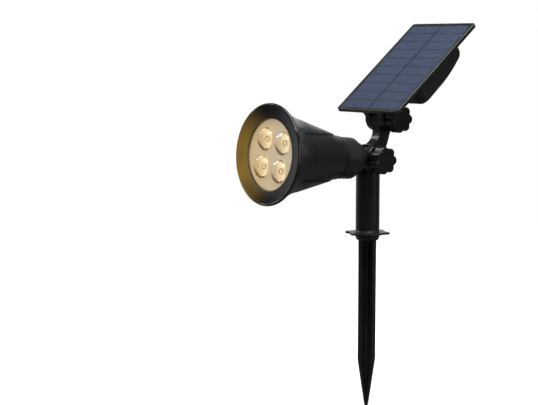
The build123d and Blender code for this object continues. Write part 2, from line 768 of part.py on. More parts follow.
def make_control_board_screws():
    """Two screws that hold the control board to the frame's posts."""
    base = BOARD_N - BOARD_THICK
    screw = rod(SCREW_R, base, -3.6) + rod(2.4, base - 1.6, base)
    return group([Pos(x, v) * screw for x, v in BOARD_POSTS])


def make_board_components():
    """Inductor, chips, capacitor and wire sockets on the board's rear side."""
    base = BOARD_N - BOARD_THICK
    inductor = Pos(-13.5, 76.0) * rod(3.4, base - 3.6, base)
    capacitor = Pos(13.5, 77.5) * rod(2.5, base - 6.0, base)
    driver = block(-10.0, -5.0, 84.0, 88.0, base - 1.4, base)
    charger = block(5.0, 10.0, 84.0, 88.0, base - 1.4, base)
    sockets = [block(x - 3.5, x + 3.5, 68.0, 72.0, base - 3.8, base) for x in (-8.0, 8.0)]
    return group([inductor, capacitor, driver, charger, *sockets])


def make_tact_switch():
    """Push switch under the power button."""
    base = BOARD_N - BOARD_THICK
    body = block(-3, 3, BUTTON_V - 3, BUTTON_V + 3, base - 3.2, base)
    return body + Pos(0, BUTTON_V) * rod(1.7, base - 3.9, base - 3.0)


def make_power_button():
    """Round plunger that slides in the housing's back, kept in by its inner collar."""
    stem_top = BOARD_N - BOARD_THICK - 3.9 - BUTTON_TRAVEL - 0.1
    button = turned(
        (0, -24.0),
        (BUTTON_R - 1.0, -23.9),
        (BUTTON_R, -23.2),
        (BUTTON_R, BUTTON_SEAT + 0.1),
        (BUTTON_R + 1.2, BUTTON_SEAT + 0.1),
        (BUTTON_R + 1.2, BUTTON_SEAT + 1.1),
        (2.0, BUTTON_SEAT + 1.1),
        (2.0, stem_top),
        (0, stem_top),
    )
    return Pos(0, BUTTON_V) * button


def make_solar_wires():
    """Two leads from the solar sheet to the control board."""
    leads = []
    for x in (-1.2, 1.2):
        leads.append(wire(0.6, (x, 72.0, -2.2), (x, 72.2, -5.0), (x * 2, 75.0, -7.0), (x * 3, 80.0, -8.3)))
    return group(leads)


def make_battery_wires():
    """Two leads from the cell's contacts to the board's sockets."""
    leads = []
    for side in (-1, 1):
        leads.append(
            wire(
                0.6,
                (side * 25.05, 61.65, -11.0),
                (side * 20.5, 61.9, -11.3),
                (side * 14.0, 64.2, -12.0),
                (side * 9.0, 67.3, -12.4),
            )
        )
    return group(leads)


# ---------------------------------------------------------------- assembly
def bodies():
    """Every node's solid in the row frame, keyed by node name."""
    plain = {
        "ground_stake": make_ground_stake(),
        "pole_tube": make_pole_tube(),
        "pole_head": make_pole_head(),
        "arm_cover": make_arm_cover(),
        "arm_cable": make_arm_cable(),
        "lamp_pivot_bolt": make_pivot_bolt(LAMP_PIVOT),
        "lamp_pivot_washers": make_pivot_washers(LAMP_PIVOT),
        "lamp_knob": make_knob(LAMP_PIVOT),
        "lamp_knob_insert": make_knob_insert(LAMP_PIVOT),
        "panel_pivot_washers": make_pivot_washers(PANEL_PIVOT),
        "panel_knob": make_knob(PANEL_PIVOT),
        "panel_knob_insert": make_knob_insert(PANEL_PIVOT),
    }
    lamp = {
        "lamp_housing": make_lamp_housing(),
        "tail_cap": make_tail_cap(),
        "tail_seal": make_tail_seal(),
        "front_bezel": make_front_bezel(),
        "lens_gasket": make_lens_gasket(),
        "optic_tray": make_optic_tray(),
        "led_optics": make_led_optics(),
        "led_emitters": make_led_emitters(),
        "led_board": make_led_board(),
        "led_board_screws": make_led_board_screws(),
        "heat_sink": make_heat_sink(),
        "lamp_cable": make_lamp_cable(),
    }
    panel = {
        "panel_frame": make_panel_frame(),
        "solar_backsheet": make_solar_backsheet(),
        "solar_cells": make_solar_cells(),
        "cell_ribbons": make_cell_ribbons(),
        "front_sheet": make_front_sheet(),
        "panel_bracket": make_panel_bracket(),
        "bracket_screws": make_bracket_screws(),
        "panel_pivot_bolt": make_pivot_bolt(panel_pivot_local()),
        "battery_housing": make_battery_housing(),
        "housing_gasket": make_housing_gasket(),
        "housing_screws": make_housing_screws(),
        "battery_cell": make_battery_cell(),
        "battery_cradle": make_battery_cradle(),
        "battery_contacts": make_battery_contacts(),
        "control_board": make_control_board(),
        "control_board_screws": make_control_board_screws(),
        "board_components": make_board_components(),
        "tact_switch": make_tact_switch(),
        "solar_wires": make_solar_wires(),
        "battery_wires": make_battery_wires(),
        "power_button": make_power_button(),
    }
    placed = dict(plain)
    placed.update({name: LAMP_FRAME * shape for name, shape in lamp.items()})
    placed.update({name: PANEL_FRAME * shape for name, shape in panel.items()})
    return placed


os.makedirs("parts", exist_ok=True)
for node, shape in bodies().items():
    export_step(shape, f"parts/{node}.step")
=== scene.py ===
import math

import bpy
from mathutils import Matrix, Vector


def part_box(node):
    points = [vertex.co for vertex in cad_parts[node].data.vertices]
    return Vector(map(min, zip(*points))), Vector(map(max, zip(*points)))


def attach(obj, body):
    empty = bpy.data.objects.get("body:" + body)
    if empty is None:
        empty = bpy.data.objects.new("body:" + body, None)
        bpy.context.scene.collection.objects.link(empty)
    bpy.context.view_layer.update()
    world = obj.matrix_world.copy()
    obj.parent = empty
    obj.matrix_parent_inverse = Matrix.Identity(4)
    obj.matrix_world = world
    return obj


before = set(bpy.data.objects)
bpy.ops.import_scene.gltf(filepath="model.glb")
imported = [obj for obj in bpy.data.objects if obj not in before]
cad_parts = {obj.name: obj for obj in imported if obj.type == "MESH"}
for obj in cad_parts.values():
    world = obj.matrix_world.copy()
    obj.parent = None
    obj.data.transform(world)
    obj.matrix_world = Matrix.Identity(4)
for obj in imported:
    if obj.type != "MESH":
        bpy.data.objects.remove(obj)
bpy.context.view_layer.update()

# ---------------------------------------------------------------- sizes in the row frame, in metres
MM = 0.001
LAMP_TILT = math.radians(4.7)
LAMP_PIVOT = Vector((0.0, 0.0, 0.0678))
LAMP_AXIS = Vector((0.0, -math.cos(LAMP_TILT), math.sin(LAMP_TILT)))
LAMP_UP = Vector((0.0, math.sin(LAMP_TILT), math.cos(LAMP_TILT)))
PANEL_TILT = math.radians(39.0)
PANEL_EDGE = Vector((0.0, -0.00333, 0.11176))
PANEL_UP_SLOPE = Vector((0.0, math.cos(PANEL_TILT), math.sin(PANEL_TILT)))
PANEL_OUT = Vector((0.0, -math.sin(PANEL_TILT), math.cos(PANEL_TILT)))
X_AXIS = Vector((1.0, 0.0, 0.0))

# Camera, solved so that every edge falls where the eye sees it
CAMERA_PLACE = (0.93604, -0.84680, 0.17063)
CAMERA_TURN = (math.radians(83.55), 0.0, math.radians(51.92))
CAMERA_LENS = 93.74
SENSOR = 36.0
CLIP_START, CLIP_END = 0.05, 20.0

# Solar cells, as the CAD lays them out
CELL_COLUMN_SIDES = (-1, 1)
CELL_ROWS = 10
CELL_WIDTH = 36.0 * MM
CELL_GAP = 2.2 * MM
CELL_PITCH = 11.85 * MM
CELL_LENGTH = 11.05 * MM
CELL_START = 3.4 * MM
CELL_TOP = -0.59 * MM
FINGERS = 5
FINGER_WIDTH = 0.30 * MM
FINGER_TOP_WIDTH = 0.6 * FINGER_WIDTH
FINGER_THICK = 0.012 * MM
FINGER_LIFT = 0.002 * MM
FINGER_INSET = 0.6 * MM

# Lamp optics, as the CAD lays them out
LENS_COUNT = 4
LENS_PITCH_R = 17.1 * MM
LENS_TURN = math.radians(-6.5)
TRAY_HALF = 26.0 * MM
CUP_DEPTHS = (99.0 * MM, 108.0 * MM)
CUP_STEPS = 64
CAVITY_STEPS = 40
# Outlines as (radius, distance along the lamp) in millimetres
CUP_OUTLINE = (
    (2.6, 99.15), (5.5, 99.35), (6.4, 100.9), (7.9, 103.9), (9.35, 106.8),
    (9.6, 107.2), (11.4, 107.3), (11.4, 108.9), (11.6, 108.9), (11.6, 107.05),
    (9.8, 106.9), (8.2, 103.7), (6.7, 100.6), (5.8, 99.1), (2.6, 99.05),
)
CAVITY_OUTLINE = (
    (1.7, 107.3), (1.85, 107.5), (2.25, 107.5), (2.4, 107.3), (2.4, 107.1), (1.7, 107.1),
    (1.7, 107.3),
)

# Painted glow on the rim, standing in for the lamplight it catches
# Lamplight caught by the rim: across, up and along the lamp, then where it starts and stops fading
SPILL_PLACE = (-46.0 * MM, -8.0 * MM, 120.0 * MM)
SPILL_REACH = (12.0 * MM, 62.0 * MM)
SPILL_FACING = (0.05, 0.5)
SPILL_TINT = (0.205, 0.122, 0.016)
# Where along the lamp the rim's lip turns glossy, and how rough it is there
LIP_POLISH = (114.6 * MM, 115.4 * MM)
LIP_ROUGH = 0.19
# Painted shade on the flank of each lens that faces this way, and how squarely it has to face it
LENS_SHADE_SIDE = (-0.62, 0.0, -0.78)
LENS_SHADE_FACING = (0.19, 0.31)

# Studio floor: rings crowd towards the middle, and the distances are from the pole's axis
FLOOR_RINGS, FLOOR_STEPS, FLOOR_REACH = 24, 96, 2.2
FLOOR_CROWDING = 1.5
FLOOR_DROP = 0.3 * MM
FLOOR_FADE = (0.55, 1.5)
FLOOR_WHITENS = (0.08, 0.35)
FLOOR_LIFT, FLOOR_WHITE = 0.55, 1.1

# Studio world: strengths, then the spans of direction over which each part comes or goes
DIM, CEILING = 0.055, 0.12
CEILING_RISE = (0.30, 0.95)
BACKDROP = 1.25
BACKDROP_SIDES = (0.52, 0.92)
BACKDROP_TOP = (0.22, 0.55)
BACKDROP_FOOT = (-0.25, 0.0)
VIEW_AHEAD = (-0.787, 0.617, 0.0)

# Studio lights
LIGHT_TARGET = (0.0, 0.0, 0.05)
# name, place, width and height, watts
SOFTBOXES = (
    ("overhead_box", (0.10, -0.10, 1.10), (0.9, 0.9), 11.0),
    ("left_box", (-0.95, -0.45, 0.35), (0.4, 0.9), 0.5),
    ("right_box", (1.15, 0.55, 0.40), (0.35, 0.9), 1.5),
    ("glint_box", (0.10, -0.95, 0.85), (0.12, 0.12), 2.2),
    ("lens_glint", (-1.10, -0.22, 0.45), (0.10, 0.20), 0.8),
    ("knob_glint", (-0.80, -0.43, 0.68), (0.12, 0.12), 1.5),
)
FRAME_GLINT = ("frame_glint", (0.58, 0.0, 0.98), (0.12, 0.12), 3.5)
RIM_STRIP = ("rim_strip", (1.10, -0.30, 0.25), (0.05, 0.9), 4.5)

# The span that holds nearly all of a noise texture, and a whole factor
NOISE = (0.3, 0.7)
FULL = (0.0, 1.0)


# ---------------------------------------------------------------- places
def panel_point(x, v, n):
    """A point on the solar panel from its place across, up the slope and out of the face."""
    return PANEL_EDGE + X_AXIS * x + PANEL_UP_SLOPE * v + PANEL_OUT * n


def lamp_point(x, up, forward):
    """A point on the lamp from its place across, above and along the lamp's axis."""
    return LAMP_PIVOT + X_AXIS * x + LAMP_UP * up + LAMP_AXIS * forward


# ---------------------------------------------------------------- node helpers
class Nodes:
    """Builds a node tree, one named step at a time."""

    def __init__(self, tree):
        self.tree = tree
        tree.nodes.clear()

    def node(self, kind, **settings):
        made = self.tree.nodes.new(kind)
        for key, value in settings.items():
            setattr(made, key, value)
        return made

    def put(self, socket, value):
        """Sets a socket to a number, vector or colour, or links it to another socket."""
        if isinstance(value, bpy.types.NodeSocket):
            self.tree.links.new(value, socket)
        else:
            socket.default_value = value

    def remap(self, value, low, high, to_low, to_high, smooth=False):
        r = self.node("ShaderNodeMapRange")
        if smooth:
            r.interpolation_type = "SMOOTHSTEP"
        self.put(r.inputs["Value"], value)
        ends = {"From Min": low, "From Max": high, "To Min": to_low, "To Max": to_high}
        for key, number in ends.items():
            self.put(r.inputs[key], number)
        return r.outputs["Result"]

    def math(self, operation, a, b, c=0.0):
        m = self.node("ShaderNodeMath", operation=operation)
        for socket, value in zip(m.inputs, (a, b, c)):
            self.put(socket, value)
        return m.outputs[0]

    def vector_math(self, operation, a, b=(0.0, 0.0, 0.0)):
        """A vector for SUBTRACT, and a number for DOT_PRODUCT, DISTANCE and LENGTH."""
        m = self.node("ShaderNodeVectorMath", operation=operation)
        self.put(m.inputs[0], a)
        self.put(m.inputs[1], b)
        return m.outputs["Vector" if operation == "SUBTRACT" else "Value"]

    def component(self, vector, axis):
        split = self.node("ShaderNodeSeparateXYZ")
        self.put(split.inputs[0], vector)
        return split.outputs[axis]

    def seen_by_camera(self):
        return self.node("ShaderNodeLightPath").outputs["Is Camera Ray"]

    def mix_shaders(self, factor, a, b):
        m = self.node("ShaderNodeMixShader")
        for socket, value in zip(m.inputs, (factor, a, b)):
            self.put(socket, value)
        return m.outputs[0]


class Shader(Nodes):
    """Builds a material."""

    def __init__(self, name):
        self.mat = bpy.data.materials.new(name)
        self.mat.use_nodes = True
        super().__init__(self.mat.node_tree)
        self.out = self.node("ShaderNodeOutputMaterial")
        self.coords = self.node("ShaderNodeTexCoord").outputs["Object"]

    def mapped(self, scale, turn=(0.0, 0.0, 0.0), shift=(0.0, 0.0, 0.0)):
        m = self.node("ShaderNodeMapping")
        self.put(m.inputs["Vector"], self.coords)
        m.inputs["Scale"].default_value = scale
        m.inputs["Rotation"].default_value = turn
        m.inputs["Location"].default_value = shift
        return m.outputs["Vector"]

    def noise(self, scale, detail, rough, vector=None, distortion=0.0):
        n = self.node("ShaderNodeTexNoise")
        self.put(n.inputs["Vector"], vector or self.coords)
        n.inputs["Scale"].default_value = scale
        n.inputs["Detail"].default_value = detail
        n.inputs["Roughness"].default_value = rough
        n.inputs["Distortion"].default_value = distortion
        return n.outputs["Fac"]

    def voronoi(self, scale, output, vector=None):
        v = self.node("ShaderNodeTexVoronoi")
        self.put(v.inputs["Vector"], vector or self.coords)
        v.inputs["Scale"].default_value = scale
        return v.outputs[output]

    def blend(self, factor, a, b):
        """Mixes two colours."""
        m = self.node("ShaderNodeMix", data_type="RGBA")
        self.put(m.inputs["Factor"], factor)
        self.put(m.inputs[6], a if isinstance(a, bpy.types.NodeSocket) else (*a, 1.0))
        self.put(m.inputs[7], b if isinstance(b, bpy.types.NodeSocket) else (*b, 1.0))
        return m.outputs[2]

    def blend_value(self, factor, a, b):
        """Mixes two numbers."""
        m = self.node("ShaderNodeMix", data_type="FLOAT")
        self.put(m.inputs["Factor"], factor)
        self.put(m.inputs["A"], a)
        self.put(m.inputs["B"], b)
        return m.outputs["Result"]

    def bump(self, height, strength, distance, normal=None):
        b = self.node("ShaderNodeBump")
        self.put(b.inputs["Height"], height)
        b.inputs["Strength"].default_value = strength
        b.inputs["Distance"].default_value = distance
        if normal is not None:
            self.put(b.inputs["Normal"], normal)
        return b.outputs["Normal"]

    def soft_edges(self, radius):
        b = self.node("ShaderNodeBevel", samples=4)
        b.inputs["Radius"].default_value = radius
        return b.outputs["Normal"]

    def facing(self, kind, direction):
        """How squarely the surface faces a direction, from -1 to 1."""
        normal = self.node("ShaderNodeNewGeometry").outputs[kind]
        return self.vector_math("DOT_PRODUCT", normal, direction)

    def principled(self, **inputs):
        p = self.node("ShaderNodeBsdfPrincipled")
        for key, value in inputs.items():
            if isinstance(value, tuple):
                value = (*value, 1.0)
            self.put(p.inputs[key.replace("_", " ")], value)
        return p.outputs["BSDF"]

    def finish(self, shader):
        self.tree.links.new(shader, self.out.inputs["Surface"])
        return self.mat


# ---------------------------------------------------------------- places on the lamp, as nodes
def along_lamp(s):
    """How far forward a point is along the lamp's axis."""
    return s.vector_math("DOT_PRODUCT", s.vector_math("SUBTRACT", s.coords, LAMP_PIVOT), LAMP_AXIS)


def across_lamp(s):
    """0 on the lamp's spill side and 1 on the other, for painting the lamplight's warmth inside."""
    return s.remap(s.component(s.coords, "X"), -TRAY_HALF, TRAY_HALF, *FULL, smooth=True)


def spill_strength(s):
    """Painted glow for lamplight caught by the flared rim: strong on one side, fading across it."""
    reach = s.vector_math("DISTANCE", s.coords, lamp_point(*SPILL_PLACE))
    near = s.remap(reach, *SPILL_REACH, 1.0, 0.0, smooth=True)
    waver = s.remap(s.noise(60.0, detail=2.0, rough=0.5), *NOISE, 0.85, 1.1)
    front = s.remap(s.facing("Normal", LAMP_AXIS), *SPILL_FACING, *FULL, smooth=True)
    return s.math("MULTIPLY", s.math("MULTIPLY", near, front), waver)


# ---------------------------------------------------------------- materials
def plastic(
    name, base, rough, grain=0.25, grain_scale=2600.0, edge=0.35 * MM, streak=None, spill=None
):
    """Moulded plastic: fine texture, faint handling marks in the gloss and softened edges.

    streak stretches a second texture along the part; spill colours its painted lamplight glow.
    """
    s = Shader(name)
    cloud = s.noise(38.0, detail=4.0, rough=0.6)
    long_way = s.mapped((1.0, 1.0, 0.35), shift=(0.3, 0.1, 0.7))
    smear = s.noise(9.0, detail=5.0, rough=0.62, vector=long_way, distortion=0.6)
    fine = s.noise(grain_scale, detail=2.0, rough=0.5)
    lighter = tuple(min(1.0, c * 1.45 + 0.002) for c in base)
    colour = s.blend(s.remap(cloud, *NOISE, *FULL), base, lighter)
    spread = s.remap(smear, 0.32, 0.7, rough - 0.045, rough + 0.055)
    gloss = s.math("ADD", spread, s.remap(fine, *NOISE, -0.02, 0.02))
    height = fine
    if streak is not None:
        lines = s.noise(1.0, detail=2.0, rough=0.5, vector=s.mapped(streak))
        height = s.math("ADD", fine, s.math("MULTIPLY", lines, 1.4))
    normal = s.bump(height, grain, 0.05 * MM, s.soft_edges(edge))
    body = {"Base_Color": colour, "Roughness": gloss, "Normal": normal, "IOR": 1.5}
    if spill is not None:
        # painted glow of caught lamplight, strongest on one side of the rim
        body["Emission_Color"] = spill
        body["Emission_Strength"] = spill_strength(s)
        lip = s.remap(along_lamp(s), *LIP_POLISH, *FULL, smooth=True)
        body["Roughness"] = s.blend_value(lip, gloss, LIP_ROUGH)
    return s.finish(s.principled(**body))


def metal(name, base, rough, stretch=(30.0, 900.0, 900.0), tarnish=0.25):
    """Turned or plated metal: fine brushing, clouded plating."""
    s = Shader(name)
    lines = s.noise(2.2, detail=3.0, rough=0.6, vector=s.mapped(stretch))
    cloud = s.noise(420.0, detail=4.0, rough=0.6)
    dull = tuple(c * (1.0 - tarnish) for c in base)
    colour = s.blend(s.remap(cloud, 0.35, 0.7, *FULL), base, dull)
    gloss = s.remap(lines, 0.25, 0.75, rough - 0.08, rough + 0.12)
    normal = s.bump(lines, 0.2, 0.02 * MM, s.soft_edges(0.15 * MM))
    return s.finish(s.principled(Base_Color=colour, Metallic=1.0, Roughness=gloss, Normal=normal))


def rubber(name, base, rough=0.72, scale=1500.0, strength=0.35):
    """Rubber, foam or cable jacket: matte, open texture and dusty high spots."""
    s = Shader(name)
    dusty = tuple(c * 2.2 + 0.012 for c in base)
    dust = s.remap(s.noise(60.0, detail=5.0, rough=0.65), 0.5, 0.78, 0.0, 0.7)
    colour = s.blend(dust, base, dusty)
    normal = s.bump(s.voronoi(scale, "Distance"), strength, 0.06 * MM)
    return s.finish(s.principled(Base_Color=colour, Roughness=rough, Normal=normal))


def painted(name, base, fleck, rough=0.35, scale=700.0):
    """Lacquered, wrapped or resin-coated part: two-tone mottling under a thin gloss."""
    s = Shader(name)
    mottle = s.noise(scale, detail=4.0, rough=0.65)
    wave = s.noise(110.0, detail=3.0, rough=0.5)
    colour = s.blend(s.remap(mottle, 0.42, 0.66, *FULL), base, fleck)
    gloss = s.remap(wave, *NOISE, rough - 0.06, rough + 0.1)
    normal = s.bump(wave, 0.15, 0.1 * MM, s.soft_edges(0.15 * MM))
    return s.finish(
        s.principled(Base_Color=colour, Roughness=gloss, Normal=normal, Coat_Weight=0.3)
    )


def silicon(name):
    """Polycrystalline silicon: angular grains that each catch the light a little differently."""
    s = Shader(name)
    in_plane = (-PANEL_TILT, 0.0, 0.0)
    stretched = s.mapped((0.55, 1.0, 1.0), turn=in_plane)
    grain = s.node("ShaderNodeSeparateColor")
    s.put(grain.inputs[0], s.voronoi(520.0, "Color", vector=stretched))
    pick, shine, tilt = grain.outputs
    flat = s.mapped((1.0, 1.0, 1.0), turn=in_plane)
    drift = s.remap(s.noise(22.0, detail=3.0, rough=0.5, vector=flat), *NOISE, *FULL)
    deep = s.blend(drift, (0.040, 0.062, 0.138), (0.047, 0.070, 0.148))
    light = s.blend(drift, (0.058, 0.083, 0.168), (0.066, 0.092, 0.178))
    colour = s.blend(s.math("POWER", pick, 1.6), deep, light)
    gloss = s.remap(shine, *FULL, 0.46, 0.60)
    normal = s.bump(tilt, 0.05, 0.02 * MM)
    return s.finish(
        s.principled(Base_Color=colour, Roughness=gloss, Metallic=0.1, Normal=normal, IOR=1.5)
    )


def clear_sheet(name):
    """Thin clear laminate: seen through, with a faint even reflection and slight orange peel."""
    s = Shader(name)
    haze = s.noise(25.0, detail=4.0, rough=0.6)
    gloss = s.node("ShaderNodeBsdfGlossy")
    gloss.inputs["Color"].default_value = (0.93, 0.96, 1.0, 1.0)
    s.put(gloss.inputs["Roughness"], s.remap(haze, *NOISE, 0.10, 0.13))
    peel = s.noise(300.0, detail=2.0, rough=0.5)
    s.put(gloss.inputs["Normal"], s.bump(peel, 0.02, 0.03 * MM))
    through = s.node("ShaderNodeBsdfTransparent")
    tint = s.blend(s.remap(haze, *NOISE, *FULL), (0.96, 0.975, 0.99), (0.98, 0.99, 1.0))
    s.put(through.inputs["Color"], tint)
    fresnel = s.node("ShaderNodeFresnel")
    fresnel.inputs["IOR"].default_value = 1.40
    shine = s.math("MULTIPLY", fresnel.outputs[0], 0.4)
    return s.finish(s.mix_shaders(shine, through.outputs[0], gloss.outputs[0]))


def lens_glass(name):
    """Clear moulded acrylic: slight waviness, a hard gloss and painted shade on its lower flank."""
    s = Shader(name)
    wave = s.noise(260.0, detail=2.0, rough=0.5)
    haze = s.noise(900.0, detail=3.0, rough=0.5)
    facing = s.facing("True Normal", LENS_SHADE_SIDE)
    shade = s.remap(facing, *LENS_SHADE_FACING, *FULL, smooth=True)
    clear = s.blend(wave, (1.0, 0.985, 0.95), (1.0, 0.97, 0.90))
    return s.finish(
        s.principled(
            # painted shade: the flank facing LENS_SHADE_SIDE is tinted dark
            Base_Color=s.blend(shade, clear, (0.06, 0.042, 0.02)),
            Roughness=s.remap(haze, *NOISE, 0.0, 0.05), IOR=1.17, Transmission_Weight=1.0,
            Normal=s.bump(wave, 0.05, 0.1 * MM),
            Coat_Weight=1.0, Coat_Roughness=0.04, Coat_IOR=1.7,
        )
    )


def tray_finish(name):
    """Warm vapour-coated plastic with painted lamplight glow: satin, brushed-looking, slightly
    grainy.
    """
    s = Shader(name)
    grain = s.noise(1800.0, detail=3.0, rough=0.6)
    brush = s.noise(3.0, detail=3.0, rough=0.6, vector=s.mapped((1600.0, 60.0, 120.0)))
    cloud = s.remap(s.noise(45.0, detail=3.0, rough=0.5), *NOISE, *FULL)
    warm = s.blend(cloud, (0.57, 0.49, 0.36), (0.63, 0.55, 0.43))
    brushed = s.remap(brush, 0.35, 0.65, 0.0, 0.35)
    # painted lamplight warmth, warmer on the spill side than on the other
    side = s.blend(across_lamp(s), (0.88, 0.62, 0.30), (0.74, 0.60, 0.42))
    lit = s.remap(brush, 0.35, 0.65, 0.0, 0.5)
    return s.finish(
        s.principled(
            Base_Color=s.blend(brushed, warm, (0.46, 0.39, 0.28)), Metallic=0.2,
            Roughness=s.remap(grain, *NOISE, 0.34, 0.5),
            Normal=s.bump(s.math("ADD", grain, brush), 0.25, 0.04 * MM, s.soft_edges(0.2 * MM)),
            # painted glow standing in for the lamp's light falling on the tray
            Emission_Color=s.blend(lit, side, (0.62, 0.46, 0.27)),
            Emission_Strength=s.remap(grain, *NOISE, 0.44, 0.56),
        )
    )


def glow(name, core, rim, strength, along, reach):
    """A glowing surface whose warmth and brightness fall off from a point on the lamp's axis."""
    s = Shader(name)
    offset = s.vector_math("DISTANCE", s.coords, LAMP_PIVOT + LAMP_AXIS * along)
    fall = s.remap(offset, 0.0, reach, 1.0, 0.0, smooth=True)
    speckle = s.remap(s.noise(2500.0, detail=2.0, rough=0.5), *NOISE, 0.85, 1.1)
    colour = s.blend(fall, rim, core)
    power = s.math("MULTIPLY", s.math("MULTIPLY_ADD", fall, strength, strength * 0.25), speckle)
    return s.finish(
        s.principled(
            Base_Color=colour, Roughness=0.45, Emission_Color=colour, Emission_Strength=power
        )
    )


def reflector_cup(name):
    """The pale moulded cup round each lens, with painted glow brighter towards the emitter."""
    s = Shader(name)
    # painted lamplight: brighter and paler towards the emitter, warmer on the spill side
    deep = s.remap(along_lamp(s), *CUP_DEPTHS, 1.0, 0.0, smooth=True)
    warm = s.blend(across_lamp(s), (0.95, 0.72, 0.38), (0.80, 0.70, 0.54))
    colour = s.blend(deep, warm, (0.95, 0.80, 0.52))
    facet = s.noise(900.0, detail=2.0, rough=0.5)
    return s.finish(
        s.principled(
            Base_Color=colour, Roughness=0.28, Metallic=0.2,
            Normal=s.bump(facet, 0.1, 0.05 * MM),
            Emission_Color=colour, Emission_Strength=s.math("MULTIPLY_ADD", deep, 0.48, 0.50),
        )
    )


def make_materials():
    """Every finish in the object, keyed by a short name."""
    ribbon_way = (900.0, 60.0, 60.0)
    return {
        "housing": plastic(
            "housing_plastic", (0.0175, 0.0175, 0.0180), 0.36, 0.30, streak=(20.0, 30.0, 20.0)
        ),
        "bezel": plastic(
            "bezel_plastic", (0.0110, 0.0110, 0.0118), 0.34, 0.22, spill=SPILL_TINT
        ),
        "pole": plastic("pole_plastic", (0.0120, 0.0120, 0.0128), 0.38, streak=(60.0, 60.0, 6.0)),
        "stake": plastic(
            "stake_plastic", (0.0130, 0.0120, 0.0120), 0.42, 0.35, 1900.0, 0.3 * MM,
            streak=(90.0, 90.0, 4.0),
        ),
        "head": plastic("head_plastic", (0.0065, 0.0065, 0.0070), 0.30, 0.22),
        "knob": plastic("knob_plastic", (0.0105, 0.0105, 0.0110), 0.22, 0.18, 2200.0, 0.4 * MM),
        "frame": plastic("frame_plastic", (0.0190, 0.0185, 0.0182), 0.30),
        "battery": plastic("battery_plastic", (0.0150, 0.0150, 0.0155), 0.44, 0.55, 1500.0),
        "inner": plastic("inner_plastic", (0.0180, 0.0180, 0.0190), 0.50, 0.2),
        "steel": metal("plated_steel", (0.60, 0.60, 0.61), 0.32),
        "brass": metal("turned_brass", (0.72, 0.52, 0.24), 0.30, (40.0, 700.0, 700.0), 0.35),
        "ribbon": metal("dull_ribbon", (0.16, 0.17, 0.20), 0.55, ribbon_way, 0.4),
        "finger": metal("printed_silver", (0.30, 0.34, 0.44), 0.50, ribbon_way, 0.3),
        "tin": metal("tinned_ribbon", (0.62, 0.62, 0.60), 0.38, ribbon_way, 0.3),
        "alloy": metal("mill_aluminium", (0.72, 0.72, 0.74), 0.38, (700.0, 700.0, 40.0), 0.15),
        "rubber": rubber("washer_rubber", (0.016, 0.016, 0.016)),
        "silicone": rubber("seal_silicone", (0.060, 0.060, 0.062), 0.55, 800.0, 0.15),
        "foam": rubber("gasket_foam", (0.020, 0.020, 0.021), 0.85, 700.0, 0.8),
        "cable": rubber("cable_jacket", (0.014, 0.014, 0.015), 0.48, 1200.0, 0.15),
        "button": rubber("button_rubber", (0.030, 0.030, 0.032), 0.58, 1300.0, 0.25),
        "board_green": painted(
            "board_green", (0.012, 0.090, 0.035), (0.020, 0.130, 0.050), 0.32
        ),
        "board_white": painted("board_white", (0.62, 0.61, 0.57), (0.70, 0.69, 0.66), 0.34),
        "component": painted(
            "component_epoxy", (0.014, 0.014, 0.016), (0.030, 0.030, 0.032), 0.45
        ),
        "battery_wrap": painted(
            "battery_wrap", (0.030, 0.110, 0.330), (0.045, 0.150, 0.400), 0.25, 90.0
        ),
        "backsheet": painted(
            "backsheet_film", (0.003, 0.004, 0.007), (0.006, 0.007, 0.011), 0.55, 400.0
        ),
        "silicon": silicon("polycrystalline_silicon"),
        "sheet": clear_sheet("clear_laminate"),
        "lens": lens_glass("lens_acrylic"),
        "tray": tray_finish("tray_warm_coat_painted_glow"),
        "cup": reflector_cup("lens_cup"),
        # cavity rims: a painted glow standing in for the emitters' light
        "frost_and_painted_glow": glow(
            "cavity_frost_painted_glow", (0.60, 0.50, 0.36), (0.52, 0.43, 0.30), 0.25, along=0.107, reach=0.05
        ),
        "emitter": glow(
            "emitter_phosphor", (1.0, 0.80, 0.42), (0.95, 0.66, 0.26), 1.1, along=0.1, reach=0.03
        ),
    }


FINISH = {
    "ground_stake": "stake", "pole_tube": "pole", "pole_head": "head", "arm_cover": "inner",
    "arm_cable": "cable", "lamp_pivot_bolt": "steel", "lamp_pivot_washers": "rubber",
    "lamp_knob": "knob", "lamp_knob_insert": "brass", "panel_pivot_bolt": "steel",
    "panel_pivot_washers": "rubber", "panel_knob": "knob", "panel_knob_insert": "brass",
    "lamp_housing": "housing", "tail_cap": "housing", "tail_seal": "silicone",
    "front_bezel": "bezel", "lens_gasket": "silicone", "optic_tray": "tray",
    "led_optics": "lens", "led_emitters": "emitter", "led_board": "board_white",
    "led_board_screws": "steel", "heat_sink": "alloy", "lamp_cable": "cable",
    "panel_frame": "frame", "solar_backsheet": "backsheet", "solar_cells": "silicon",
    "cell_ribbons": "ribbon", "front_sheet": "sheet", "panel_bracket": "head",
    "bracket_screws": "steel", "battery_housing": "battery", "housing_gasket": "foam",
    "housing_screws": "steel", "battery_cell": "battery_wrap", "battery_cradle": "inner",
    "battery_contacts": "tin", "control_board": "board_green", "control_board_screws": "steel",
    "board_components": "component", "tact_switch": "component", "solar_wires": "cable",
    "battery_wires": "cable", "power_button": "button",
}


# ---------------------------------------------------------------- mesh helpers
def new_mesh(name, verts, faces, finish, smooth=False):
    """A mesh object built from vertices and faces, in the row frame."""
    mesh = bpy.data.meshes.new(name)
    mesh.from_pydata([tuple(v) for v in verts], [], faces)
    mesh.validate()
    mesh.update()
    mesh.materials.append(finish)
    if smooth:
        mesh.shade_smooth()
    made = bpy.data.objects.new(name, mesh)
    bpy.context.scene.collection.objects.link(made)
    return made


